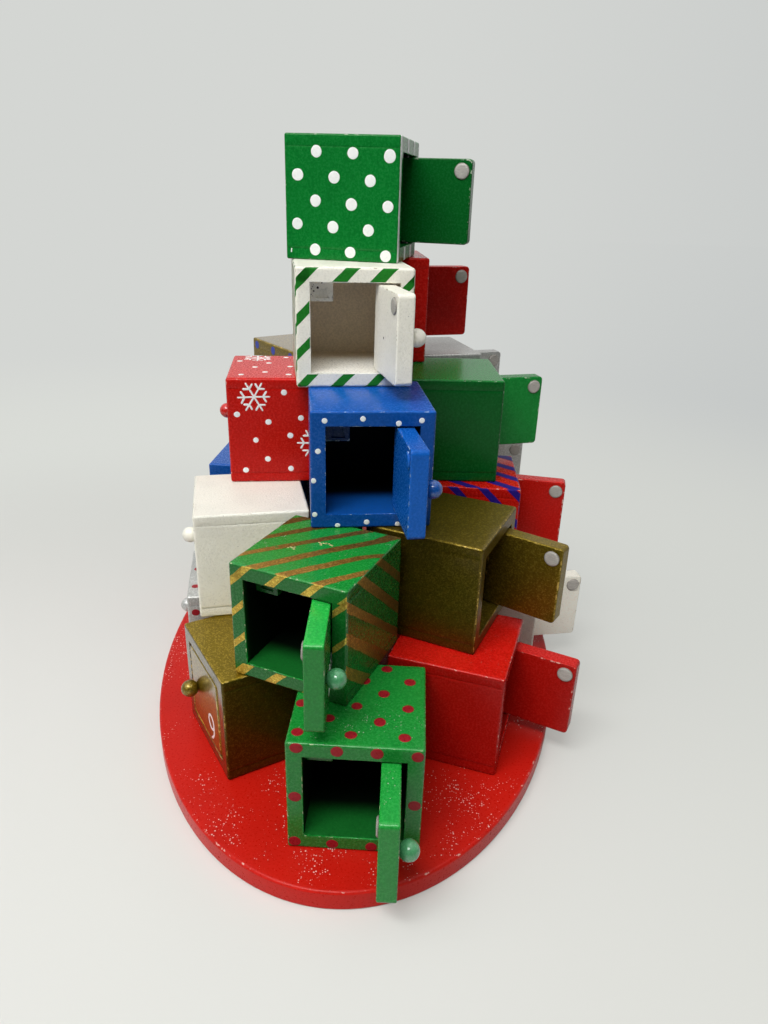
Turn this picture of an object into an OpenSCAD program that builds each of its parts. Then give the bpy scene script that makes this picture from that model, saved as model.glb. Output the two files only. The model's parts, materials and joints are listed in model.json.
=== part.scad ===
// Wooden advent calendar: twenty-four small cube boxes with hinged doors,
// stacked in five tiers on one oval base board.
// Millimetres. Z is up, the origin is the centre of the base board's underside,
// and the front of the calendar faces -Y.

/* [Base board] */
// Thickness of the oval base board
base_t = 12; // [8:0.5:24]
// Rim of base board left free in front of the foremost box
base_rim_end = 26; // [12:1:60]
// Rim of base board left free beside the outermost box
base_rim_side = 20; // [12:1:60]

/* [Boxes] */
// Outer edge of each cube-shaped box
box_size = 70; // [60:1:100]
// Width of the frame that the boards form around the door opening
wall = 8.7; // [7.5:0.1:12]
// Thickness that the top and bottom boards show along the sides
lap_t = 6.6; // [5:0.1:7]
// Thickness of the back panel
back_t = 5; // [3:0.5:10]
// Radius of the eased upright corners
corner_r = 1.5; // [0.5:0.1:3]
// Glue line between two boards
glue_gap = 0.1; // [0.05:0.01:0.2]

/* [Doors] */
// Thickness of a door
door_t = 10; // [8:0.5:14]
// Gap all round a closed door
door_gap = 1; // [0.8:0.1:2]
// Radius of a door's corners, seen from the front
door_corner_r = 2.6; // [1:0.1:5]
// Rounding of a door's hinge edge, seen from above
hinge_edge_r = 3.2; // [2.8:0.1:4]

/* [Hinges] */
// Diameter of a hinge pin
pin_d = 2; // [1.5:0.1:3]
// Distance from a door's hinge edge to its pins
pin_inset = 7; // [6:0.5:8]
// Depth of a hinge pin in the board and in the door
pin_grip = 6; // [4:0.5:7]
// Running clearance round a hinge pin in the door
pin_run = 0.05; // [0.03:0.01:0.1]
// Diameter of the washer under a door
washer_d = 5; // [4:0.5:7]

/* [Knobs] */
// Diameter of a ball knob
knob_d = 10.6; // [8:0.2:12]
// Distance from a knob's centre to the face of its door
knob_proud = 4.8; // [3:0.1:5]
// Distance from a knob's centre to the free edge of its door
knob_inset = 10; // [8:0.5:16]
// Diameter of the peg that holds a knob
knob_peg_d = 4; // [3:0.5:6]
// Length of that peg in the door
knob_peg_l = 6; // [4:0.5:7]

/* [Magnet catch] */
// Diameter of the steel disc on a door's inner face
disc_d = 9.7; // [8:0.1:12]
// Height of that disc at its middle
disc_h = 1.2; // [0.8:0.1:2]
// Distance from the disc's centre to the free edge of its door
disc_inset = 6.5; // [5.5:0.1:9]
// Distance from the disc's centre to the top edge of its door
disc_drop = 7.2; // [6.5:0.1:9]
// Diameter of the disc's nail
nail_d = 1.2; // [0.8:0.1:2]
// Length of the disc's nail
nail_l = 6; // [3:0.5:7]
// Width of the wooden block that holds the magnet
block_w = 14; // [13:0.5:20]
// Height of that block
block_h = 12; // [11:0.5:18]
// Depth of that block
block_d = 8; // [7:0.5:12]
// Diameter of the magnet
magnet_d = 8; // [5:0.5:9]
// Length of the magnet
magnet_l = 5; // [2:0.5:5.5]
// Wood left in front of the magnet
magnet_skin = 1; // [0.6:0.1:1.5]

/* [Base screws] */
// Diameter of a screw's shank
screw_d = 3.5; // [3:0.5:5]
// Diameter of a screw's countersunk head
screw_head_d = 7; // [6:0.5:9]
// Depth of a screw in a box's bottom board
screw_grip = 6; // [4:0.5:7]
// Distance between the two screws of one box
screw_pitch = 30; // [20:1:40]

/* [Hidden] */
// One row for each box, in the order of the day numbers 1 to 24:
// tier, centre across and back as shares of the box's edge,
// turn of the door side, resting angle of the door, paint
place_shares = [
    [1,  0.13, -2.67,   -1,    91, "green"],
    [2, -1.05,  0.18,  -93,     0, "blue"],
    [3,  0.07, -1.17,    8,    93, "blue"],
    [1,  1.25,  0.62,   97,     0, "gold"],
    [3, -0.68,  1.13, -142.5,   0, "gold"],
    [1, -1.22, -0.66,  -78.5,   0, "silver"],
    [4,  0.02,  0.63,   96,   104, "red"],
    [2,  0.78, -1.35,   67,    80, "gold"],
    [1, -0.82, -1.84,  -57.5,   0, "gold"],
    [1, -1.24,  0.50,  -95,     0, "red"],
    [3,  0.58,  1.09,  107,    94, "silver"],
    [4, -0.15, -0.44,   10,    97, "white"],
    [1,  0.94, -1.71,   73.5,  81, "red"],
    [2, -1.02, -0.99,  -76,     0, "white"],
    [1, -0.80,  1.70, -128,     0, "green"],
    [3, -0.81, -0.21,  -82,     0, "red"],
    [2,  0.82,  0.94,   97,    91, "silver"],
    [1,  0.62,  1.80,  152,     0, "blue"],
    [2,  1.05, -0.16,   88,    82, "red"],
    [3,  0.78, -0.03,   93,   104, "green"],
    [1,  1.29, -0.51,   85.5, 106, "white"],
    [2, -0.25, -2.10,  -22,   113, "green"],
    [2, -0.51,  1.37, -152,     0, "white"],
    [5, -0.15,  0.06,   81,    85, "green"]
];
days = [1 : len(place_shares)];
function day_name(kind, day) = str(kind, day < 10 ? "_0" : "_", day);
$fn = 48;

// Overrun of every cut past the face that it opens
over = 1;
// Clearance of a piece that is pressed or glued into its hole
snug = 0.02;
// Clearance between two faces that only just stay apart
slack = 0.1;
// Free depth at the bottom of a blind hole
hole_spare = 0.5;
// Straight rim of a steel disc, as a share of its height
disc_rim_share = 0.4;
// Diameter of a steel disc's flat crown, as a share of its diameter
disc_crown_share = 0.8;
// Number of flats that the base board's oval is drawn with
oval_steps = 144;

opening = box_size - 2 * wall;
door_w = opening - 2 * door_gap;
door_h = door_w;
door_reach = door_w - pin_inset;
pivot_x = opening / 2 - door_gap - pin_inset;
pivot_y = -box_size / 2 + door_t / 2;
front_share = max([for (row = place_shares) -row[2]]);
side_share = max([for (row = place_shares) abs(row[1])]);
base_half_l = (front_share + 1 / 2) * box_size + base_rim_end;
base_half_w = (side_share + 1 / 2) * box_size + base_rim_side;
screw_head_h = (screw_head_d - screw_d) / 2;
block_front = -box_size / 2 + door_t + disc_h + 3 * slack;

function paint(name) =
    name == "green" ? [0.06, 0.36, 0.13] :
    name == "red" ? [0.66, 0.07, 0.06] :
    name == "blue" ? [0.09, 0.27, 0.62] :
    name == "gold" ? [0.43, 0.36, 0.10] :
    name == "silver" ? [0.62, 0.62, 0.61] :
    [0.93, 0.92, 0.88];
function row(day) = place_shares[day - 1];
function tier_z(tier) = base_t + (tier - 1) * box_size;

// Puts a piece that is drawn for a box at the origin, door side to -Y, into its place
module at_box(day) {
    translate([row(day)[1] * box_size, row(day)[2] * box_size, tier_z(row(day)[0])])
        rotate([0, 0, row(day)[3]]) children();
}

// Puts a piece that is drawn round the hinge axis, door shut, at its door
module at_hinge(day) {
    at_box(day) translate([pivot_x, pivot_y, wall]) children();
}

// Plan of a box, with eased corners
module box_plan() {
    inner = box_size - 2 * corner_r;
    square([box_size, inner], center = true);
    square([inner, box_size], center = true);
    for (x = [-inner / 2, inner / 2], y = [-inner / 2, inner / 2])
        translate([x, y]) circle(corner_r);
}

// Top or bottom board: a plate over the side boards and a step that drops between them
module lid_board() {
    translate([0, 0, box_size - lap_t]) linear_extrude(lap_t) box_plan();
    translate([-opening / 2, -box_size / 2, box_size - wall])
        cube([opening, box_size - back_t - glue_gap, wall - lap_t]);
}

// Blind hole for a hinge pin in a top or bottom board
module pin_hole() {
    translate([pivot_x, pivot_y, box_size - wall - over])
        cylinder(d = pin_d + 2 * snug, h = pin_grip + hole_spare + over);
}

// Side board, as wide as the frame
module side_board() {
    low = lap_t + glue_gap;
    translate([0, 0, low]) linear_extrude(box_size - 2 * low) intersection() {
        box_plan();
        translate([opening / 2 + glue_gap, -box_size / 2])
            square([wall - glue_gap, box_size]);
    }
}

// Back panel, let in between the other four boards
module back_panel() {
    translate([-opening / 2, box_size / 2 - back_t, lap_t + glue_gap])
        cube([opening, back_t, box_size - 2 * (lap_t + glue_gap)]);
}

// Blind holes under a box of the lowest tier for its two screws
module box_screw_holes() {
    for (y = [-screw_pitch / 2, screw_pitch / 2])
        translate([0, y, -over]) cylinder(d = screw_d + 2 * snug, h = screw_grip + hole_spare + over);
}

module present_box(day) {
    color(paint(row(day)[5])) at_box(day) {
        difference() {
            lid_board();
            pin_hole();
        }
        difference() {
            translate([0, 0, box_size]) mirror([0, 0, 1]) lid_board();
            translate([0, 0, box_size]) mirror([0, 0, 1]) pin_hole();
            if (row(day)[0] == 1) box_screw_holes();
        }
        side_board();
        mirror([1, 0, 0]) side_board();
        back_panel();
    }
}

// Face of a door with rounded corners, drawn upright
module door_face() {
    inner_w = door_w - 2 * door_corner_r;
    inner_h = door_h - 2 * door_corner_r;
    square([door_w, inner_h], center = true);
    square([inner_w, door_h], center = true);
    for (x = [-inner_w / 2, inner_w / 2], z = [-inner_h / 2, inner_h / 2])
        translate([x, z]) circle(door_corner_r);
}

// Plan of a door round its hinge axis, with the hinge edge rounded
module door_plan() {
    translate([-door_reach, -door_t / 2]) square([door_w - hinge_edge_r, door_t]);
    translate([-door_reach, -door_t / 2 + hinge_edge_r])
        square([door_w, door_t - 2 * hinge_edge_r]);
    for (y = [-door_t / 2 + hinge_edge_r, door_t / 2 - hinge_edge_r])
        translate([pin_inset - hinge_edge_r, y]) circle(hinge_edge_r);
}

// Door slab with its pin bores, knob socket and nail hole
module door_slab() {
    difference() {
        intersection() {
            translate([pin_inset - door_w / 2, door_t / 2, door_gap + door_h / 2])
                rotate([90, 0, 0]) linear_extrude(door_t) door_face();
            translate([0, 0, door_gap]) linear_extrude(door_h) door_plan();
        }
        for (z = [door_gap - over, door_gap + door_h - pin_grip - hole_spare])
            translate([0, 0, z])
                cylinder(d = pin_d + 2 * pin_run, h = pin_grip + hole_spare + over);
        translate([knob_inset - door_reach, -door_t / 2 + knob_peg_l + hole_spare, door_gap + door_h / 2])
            rotate([90, 0, 0]) cylinder(d = knob_peg_d + 2 * snug, h = knob_peg_l + hole_spare + over);
        translate([disc_inset - door_reach, door_t / 2 + over, door_gap + door_h - disc_drop])
            rotate([90, 0, 0]) cylinder(d = nail_d + 2 * snug, h = nail_l + hole_spare + over);
    }
}

// Ball knob with a flat seat and a glued peg
module knob() {
    seat = door_t / 2 + snug;
    translate([knob_inset - door_reach, 0, door_gap + door_h / 2]) {
        intersection() {
            translate([0, -door_t / 2 - knob_proud, 0]) sphere(d = knob_d);
            translate([-knob_d, -seat - 2 * knob_d, -knob_d]) cube(2 * knob_d);
        }
        translate([0, knob_peg_l - door_t / 2, 0])
            rotate([90, 0, 0]) cylinder(d = knob_peg_d, h = knob_peg_l + snug + knob_proud);
    }
}

// Steel disc with its nail
module steel_disc() {
    rim_h = disc_h * disc_rim_share;
    translate([disc_inset - door_reach, door_t / 2 + snug, door_gap + door_h - disc_drop])
        rotate([-90, 0, 0]) {
            cylinder(d = disc_d, h = rim_h);
            translate([0, 0, rim_h])
                cylinder(d1 = disc_d, d2 = disc_d * disc_crown_share, h = disc_h - rim_h);
            translate([0, 0, -nail_l]) cylinder(d = nail_d, h = nail_l + rim_h);
        }
}

module box_door(day) {
    at_hinge(day) rotate([0, 0, row(day)[4]]) {
        color(paint(row(day)[5])) {
            door_slab();
            knob();
        }
        color("gainsboro") steel_disc();
    }
}

module hinge_pins() {
    pin_l = 2 * pin_grip + door_gap;
    color("silver") for (day = days) at_hinge(day)
        for (z = [-pin_grip, opening - door_gap - pin_grip])
            translate([0, 0, z]) cylinder(d = pin_d, h = pin_l);
}

module hinge_washers() {
    color("silver") for (day = days) at_hinge(day) difference() {
        cylinder(d = washer_d, h = door_gap - slack);
        translate([0, 0, -over]) cylinder(d = pin_d + 2 * snug, h = door_gap + 2 * over);
    }
}

// Wooden block glued into the top free corner of a box, with its magnet's hole behind
module magnet_blocks() {
    for (day = days) color(paint(row(day)[5])) at_box(day) difference() {
        translate([-opening / 2 + slack, block_front, box_size - wall - slack - block_h])
            cube([block_w, block_d, block_h]);
        at_magnet() cylinder(d = magnet_d + 2 * snug, h = block_d + over);
    }
}

// Front end of a magnet in its block
module at_magnet() {
    translate([-opening / 2 + slack + block_w / 2, block_front + magnet_skin,
        box_size - wall - slack - block_h / 2]) rotate([-90, 0, 0]) children();
}

module magnets() {
    color("dimgray") for (day = days) at_box(day) at_magnet()
        translate([0, 0, snug]) cylinder(d = magnet_d, h = magnet_l);
}

// Countersunk screw, head flush with the underside of the base board
module screw(extra) {
    cylinder(d1 = screw_head_d + 2 * extra, d2 = screw_d + 2 * extra, h = screw_head_h);
    cylinder(d = screw_d + 2 * extra, h = base_t + screw_grip);
}

module at_screws() {
    for (day = days) if (row(day)[0] == 1)
        translate([row(day)[1] * box_size, row(day)[2] * box_size, 0]) rotate([0, 0, row(day)[3]])
            for (y = [-screw_pitch / 2, screw_pitch / 2]) translate([0, y, 0]) children();
}

module base_board() {
    color(paint("red")) difference() {
        linear_extrude(base_t) polygon([for (i = [0 : oval_steps - 1])
            [base_half_w * cos(i * 360 / oval_steps), base_half_l * sin(i * 360 / oval_steps)]]);
        at_screws() {
            screw(snug);
            translate([0, 0, -over]) cylinder(d = screw_head_d + 2 * snug, h = over);
        }
    }
}

module base_screws() {
    color("silver") at_screws() screw(0);
}

base_board();
base_screws();
hinge_pins();
hinge_washers();
magnet_blocks();
magnets();
for (day = days) {
    present_box(day);
    box_door(day);
}
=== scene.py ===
import json
import logging
import math
from dataclasses import dataclass, replace
from enum import Enum
from functools import cache
from typing import Callable, Iterable, Sequence

import bmesh
import bpy
from mathutils import Matrix, Vector, noise


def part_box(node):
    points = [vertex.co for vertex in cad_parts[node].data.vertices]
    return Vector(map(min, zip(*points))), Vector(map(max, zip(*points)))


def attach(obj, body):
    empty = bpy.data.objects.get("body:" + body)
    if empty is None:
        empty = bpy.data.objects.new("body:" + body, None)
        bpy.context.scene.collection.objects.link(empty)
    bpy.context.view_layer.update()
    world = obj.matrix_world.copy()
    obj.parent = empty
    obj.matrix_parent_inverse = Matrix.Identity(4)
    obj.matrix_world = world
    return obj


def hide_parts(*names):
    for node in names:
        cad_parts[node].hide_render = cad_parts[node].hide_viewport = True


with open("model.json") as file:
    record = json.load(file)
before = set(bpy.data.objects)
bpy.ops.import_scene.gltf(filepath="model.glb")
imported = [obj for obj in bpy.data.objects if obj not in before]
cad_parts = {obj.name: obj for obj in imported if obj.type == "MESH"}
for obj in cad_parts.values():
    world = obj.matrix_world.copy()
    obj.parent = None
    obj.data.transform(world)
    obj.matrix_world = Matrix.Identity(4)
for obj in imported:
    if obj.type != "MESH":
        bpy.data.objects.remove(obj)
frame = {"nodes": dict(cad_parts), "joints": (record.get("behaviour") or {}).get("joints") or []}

log = logging.getLogger("advent_calendar")
Pair = tuple[float, float]
Triple = tuple[float, float, float]
Four = tuple[float, float, float, float]
Colour = tuple[int, int, int]
Socket = bpy.types.NodeSocket
Shaded = bpy.types.Material | bpy.types.World
Value = float | Socket
Tint = Sequence[float] | Socket

MM = 0.001

# Half a box, half its opening and the opening's rounded lip, in millimetres
HALF = 35.0
OPENING = 26.3
LIP = 0.5
FRAME = OPENING + LIP

# Width of the strip by an edge where paint wears, margin of a board's flat middle, smallest corner
STRIP = 1.4
MARGIN = 1.1
SMALLEST = 0.3

# Points nearer to each other than this become one
WELD = 0.002

# Display colours that several finishes share
DUST = (236, 228, 220)
OLD_WOOD = (96, 84, 66)
TARNISH = (88, 80, 68)
BEAD_GREEN = (78, 152, 102)


def linear(colour: Colour) -> tuple[float, ...]:
    """Turns a display colour from 0 to 255 into linear light with full cover."""
    shares = [value / 255 for value in colour]
    return (*(s / 12.92 if s <= 0.04045 else ((s + 0.055) / 1.055) ** 2.4 for s in shares), 1.0)


def shaded(colour: Sequence[float], factor: float, lift: float = 0.0) -> tuple[float, ...]:
    """Makes a linear colour darker or brighter."""
    return (*(min(1.0, share * factor + lift) for share in colour[:3]), 1.0)


def wobble(seed: float, where: float, amount: float) -> float:
    """A smooth unevenness of at most amount, at a place along the run that the seed picks."""
    return amount * noise.noise(Vector((seed * 7.31, where, seed * 3.17)))


def around(centre: Sequence[float], reach: float, angle: float) -> Pair:
    """The place at a distance and an angle in radians from a centre."""
    return centre[0] + reach * math.cos(angle), centre[1] + reach * math.sin(angle)


class Face(Enum):
    """The faces of a box: outward direction, then the directions of u and v."""

    FRONT = ((0, -1, 0), (1, 0, 0), (0, 0, 1))
    BACK = ((0, 1, 0), (-1, 0, 0), (0, 0, 1))
    LEFT = ((-1, 0, 0), (0, -1, 0), (0, 0, 1))
    RIGHT = ((1, 0, 0), (0, 1, 0), (0, 0, 1))
    TOP = ((0, 0, 1), (1, 0, 0), (0, 1, 0))
    UNDER = ((0, 0, -1), (1, 0, 0), (0, -1, 0))


FRONT, BACK, LEFT, RIGHT, TOP, UNDER = Face
SQUARE = ((-1, -1), (1, -1), (1, 1), (-1, 1))


# Finishes


class NodeSheet:
    """Adds shader nodes to the tree of one material or world, and links them."""

    def __init__(self, owner: Shaded) -> None:
        """Empties the tree.

        Args:
            owner: the material or world.
        """
        owner.use_nodes = True
        self.owner = owner
        self.tree = owner.node_tree
        self.tree.nodes.clear()

    def add(self, kind: str, inputs: dict | None = None, output: int | str = 0,
            **settings: float | str | bool) -> Socket | None:
        """Adds one node.

        Args:
            kind: node type without its first word.
            inputs: socket name or number, and the constant or socket it takes.
            output: name or number of the output that is wanted.
            settings: plain properties of the node.

        Returns:
            The output's socket, or None if the node has none.
        """
        node = self.tree.nodes.new("ShaderNode" + kind)
        for name, value in settings.items():
            setattr(node, name, value)
        for key, value in (inputs or {}).items():
            if isinstance(value, Socket):
                self.tree.links.new(value, node.inputs[key])
            else:
                node.inputs[key].default_value = value
        return node.outputs[output] if node.outputs else None

    def math(self, operation: str, first: Socket, second: Value, clamp: bool = False) -> Socket:
        """A sum, product or other step on two values, kept from 0 to 1 if clamp is set."""
        return self.add("Math", {0: first, 1: second}, operation=operation, use_clamp=clamp)

    def times(self, first: Socket, second: Value) -> Socket:
        """The product of two values."""
        return self.math("MULTIPLY", first, second)

    def vector(self, operation: str, first: Socket, second: Tint) -> Socket:
        """A step on two vectors."""
        return self.add("VectorMath", {0: first, 1: second}, operation=operation)

    def scaled(self, colour: Tint, factor: Socket) -> Socket:
        """A colour times a value."""
        return self.add("VectorMath", {0: colour, "Scale": factor}, operation="SCALE")

    def ramp(self, value: Socket, low: float, high: float, start: float = 0.0, end: float = 1.0) -> Socket:
        """A smooth step from start to end, as the value goes from low to high."""
        inputs = {"Value": value, "From Min": low, "From Max": high, "To Min": start, "To Max": end}
        return self.add("MapRange", inputs, interpolation_type="SMOOTHSTEP")

    def mix(self, share: Socket, first: Tint, second: Tint) -> Socket:
        """A mix of two colours, with that share of the second."""
        return self.add("Mix", {0: share, 6: first, 7: second}, 2, data_type="RGBA")

    def blend(self, share: Socket, first: Socket, second: Socket) -> Socket:
        """A mix of two shaders, with that share of the second."""
        return self.add("MixShader", {0: share, 1: first, 2: second})

    def noise(self, where: Socket, scale: float, detail: float = 2.0, rough: float = 0.5) -> Socket:
        """Soft noise with that many waves in each millimetre, and its finer layers."""
        return self.add("TexNoise", {"Vector": where, "Scale": scale, "Detail": detail, "Roughness": rough})

    def cells(self, where: Socket, scale: float) -> tuple[Socket, Socket]:
        """The chance drawn for each random cell, and the distance from its middle."""
        distance = self.add("TexVoronoi", {"Vector": where, "Scale": scale})
        return self.add("SeparateColor", {0: distance.node.outputs["Color"]}), distance

    def attribute(self, name: str, output: str = "Fac") -> Socket:
        """A value that Draft.build leaves on every point."""
        return self.add("Attribute", output=output, attribute_name=name)

    def axis(self, vector: Socket, name: str) -> Socket:
        """One part of a vector."""
        return self.add("SeparateXYZ", {0: vector}, name)

    def places(self, stretch: Triple = (1, 1, 1)) -> Socket:
        """A piece's own places in millimetres, stretched on the three axes."""
        scaled = self.vector("MULTIPLY", self.add("TexCoord", output="Object"), [s / MM for s in stretch])
        return self.vector("ADD", scaled, self.attribute("shift", "Vector"))

    def show(self, shader: Socket) -> Shaded:
        """Makes a shader the surface, and gives back the material or world."""
        self.add("Output" + type(self.owner).__name__, {"Surface": shader})
        return self.owner


@dataclass(frozen=True)
class BrushedPaint:
    """A satin or gloss paint brushed on wooden boards, with worn edges, dust and small knocks, and painted
    light and shade.
    """

    name: str
    colour: Colour
    # Colour of worn edges, pale partly as a painted highlight along them
    worn: Colour
    wear: float = 0.5
    dust: float = 0.0
    nicks: float = 0.0
    rough: float = 0.24
    metal: float = 0.0
    flake: float = 0.0
    depth: float = 1.0
    sheen: float = 0.18
    coat: float = 0.0
    glance: float = 0.0
    grain: float = 1.0
    # How much brighter upright and upper faces are drawn, and how much darker towards the back: painted
    # light and shade
    side: float = 1.0
    top: float = 1.0
    rear: float = 1.0
    # Colour deep in a cavity, a painted shade, and where along y in millimetres the painted shadow on its
    # floor begins; the shade is full 16 mm further back
    bare: Colour | None = None
    reach: float = -23.0

    def build(self) -> bpy.types.Material:
        """Builds the paint.

        Returns:
            The material.
        """
        sheet = NodeSheet(bpy.data.materials.new(self.name))
        where = sheet.places()
        fine = sheet.noise(where, 0.75, 3.0, 0.7)
        up = sheet.axis(sheet.add("NewGeometry", output="Normal"), "Z")
        depth = sheet.axis(sheet.add("TexCoord", output="Object"), "Y")
        base = linear(self.colour)
        dark, pale, bright = shaded(base, 0.6), shaded(base, 1.3, 0.012), shaded(base, 2.2, 0.03)
        # Broad patches, fine mottling and metal flake
        colour = sheet.mix(sheet.ramp(sheet.noise(where, 0.035, 3.0), 0.2, 0.62, 0.22, 0.0), base, dark)
        colour = sheet.mix(sheet.ramp(fine, 0.34, 0.5, 0.5 * self.grain, 0.0), colour, dark)
        colour = sheet.mix(sheet.ramp(fine, 0.54, 0.74, 0.0, 0.5 * self.grain), colour, pale)
        if self.flake:
            spark, _ = sheet.cells(where, 1.3)
            colour = sheet.mix(sheet.ramp(spark, 0.55, 1.0, 0.0, self.flake), colour, bright)
            colour = sheet.mix(sheet.ramp(spark, 0.0, 0.4, self.flake, 0.0), colour, dark)
        # Painted light and shade: upright faces drawn darker or brighter by side, upper faces by top, and
        # faces darker towards the back of the piece
        level = sheet.ramp(up, 0.3, 0.9, self.side, self.top)
        if self.rear != 1.0:
            level = sheet.times(level, sheet.ramp(depth, -0.035, 0.02, 1.0, self.rear))
        colour = sheet.scaled(colour, level)
        # Painted shade deep in a cavity: the walls darken just inside the mouth, the floor only behind a
        # painted shadow line further in
        if self.bare:
            floor = sheet.ramp(depth, self.reach * MM, (self.reach + 16) * MM)
            walls = sheet.ramp(depth, -0.039, -0.030)
            shade_share = sheet.add("Mix", {0: sheet.ramp(up, 0.3, 0.8), 2: walls, 3: floor})
            shade_colour = sheet.scaled(linear(self.bare)[:3], sheet.ramp(fine, 0.32, 0.68, 0.86, 1.06))
            colour = sheet.mix(shade_share, colour, shade_colour)
        if self.dust:
            chance, distance = sheet.cells(where, 0.85)
            patches = sheet.noise(where, 0.03, 3.0, 0.6)
            patches = sheet.ramp(patches, 0.38, 0.66, 0.04 * self.dust, 0.34 * self.dust)
            size = sheet.times(sheet.math("POWER", chance, 2.2), patches)
            cover = sheet.times(sheet.math("LESS_THAN", distance, size), sheet.ramp(up, 0.7, 0.9))
            colour = sheet.mix(sheet.times(cover, 0.6), colour, linear(DUST))
        if self.nicks:
            _, distance = sheet.cells(where, 0.16)
            small = sheet.math("LESS_THAN", distance, 0.05 * self.nicks)
            colour = sheet.mix(sheet.times(small, 0.8), colour, linear(OLD_WOOD))
        # Paint worn off the edges, which leaves them rough and a little lower; their pale colour is partly
        # a painted highlight along the edges
        broken = sheet.times(sheet.math("SUBTRACT", sheet.noise(where, 0.24, 4.0, 0.65), 0.5), 2.6)
        worn_and_highlight = sheet.ramp(sheet.math("ADD", sheet.attribute("edge"), broken),
                          1.32 - 0.6 * self.wear, 1.5 - 0.6 * self.wear)
        colour = sheet.mix(sheet.times(worn_and_highlight, 0.8), colour, linear(self.worn))
        roughness = sheet.ramp(fine, 0.3, 0.7, self.rough - 0.04, self.rough + 0.08)
        roughness = sheet.math("ADD", roughness, sheet.times(worn_and_highlight, 0.25), True)
        strokes = sheet.noise(sheet.places((0.1, 0.1, 1.0)), 0.5, 2.0, 0.6)
        relief = sheet.math("ADD", sheet.times(fine, 0.94), sheet.times(strokes, 0.06))
        relief = sheet.math("SUBTRACT", relief, sheet.times(worn_and_highlight, 0.5))
        bump = sheet.add("Bump", {"Height": relief, "Strength": 0.6, "Distance": 0.00006 * self.depth})
        coat = self.coat
        if self.glance:
            facing = sheet.add("LayerWeight", {"Blend": 0.5}, "Facing")
            coat = sheet.ramp(facing, 0.45, 0.72, self.coat, self.coat + self.glance)
        return sheet.show(sheet.add("BsdfPrincipled", {
            "Base Color": colour, "Roughness": roughness, "Metallic": self.metal, "Normal": bump,
            "Specular IOR Level": self.sheen, "Coat Weight": coat, "Coat Roughness": 0.12}))


@dataclass(frozen=True)
class DullSteel:
    """Plated steel with fine scratches and small dents."""

    name: str
    colour: Colour
    rough: float = 0.36
    dents: float = 1.0
    metal: float = 0.9

    def build(self) -> bpy.types.Material:
        """Builds the steel.

        Returns:
            The material.
        """
        sheet = NodeSheet(bpy.data.materials.new(self.name))
        scratch = sheet.noise(sheet.places((0.3, 1.0, 5.0)), 1.4, 3.0, 0.6)
        dent = sheet.noise(sheet.places(), 0.42, 1.0)
        base = linear(self.colour)
        colour = sheet.mix(sheet.ramp(scratch, 0.3, 0.65), shaded(base, 0.6), base)
        colour = sheet.mix(sheet.ramp(sheet.attribute("edge"), 0.3, 1.0, 0.0, 0.6), colour, linear(TARNISH))
        relief = sheet.math("ADD", sheet.times(scratch, 0.12), dent)
        bump = sheet.add("Bump", {"Height": relief, "Strength": 0.5, "Distance": 0.0005 * self.dents})
        roughness = sheet.ramp(scratch, 0.3, 0.75, self.rough - 0.06, self.rough + 0.12)
        return sheet.show(sheet.add("BsdfPrincipled", {"Base Color": colour, "Metallic": self.metal,
                                                       "Normal": bump, "Roughness": roughness}))


Finish = BrushedPaint | DullSteel


@cache
def material(finish: Finish) -> bpy.types.Material:
    """The material of a finish, built at its first use."""
    return finish.build()


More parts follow.
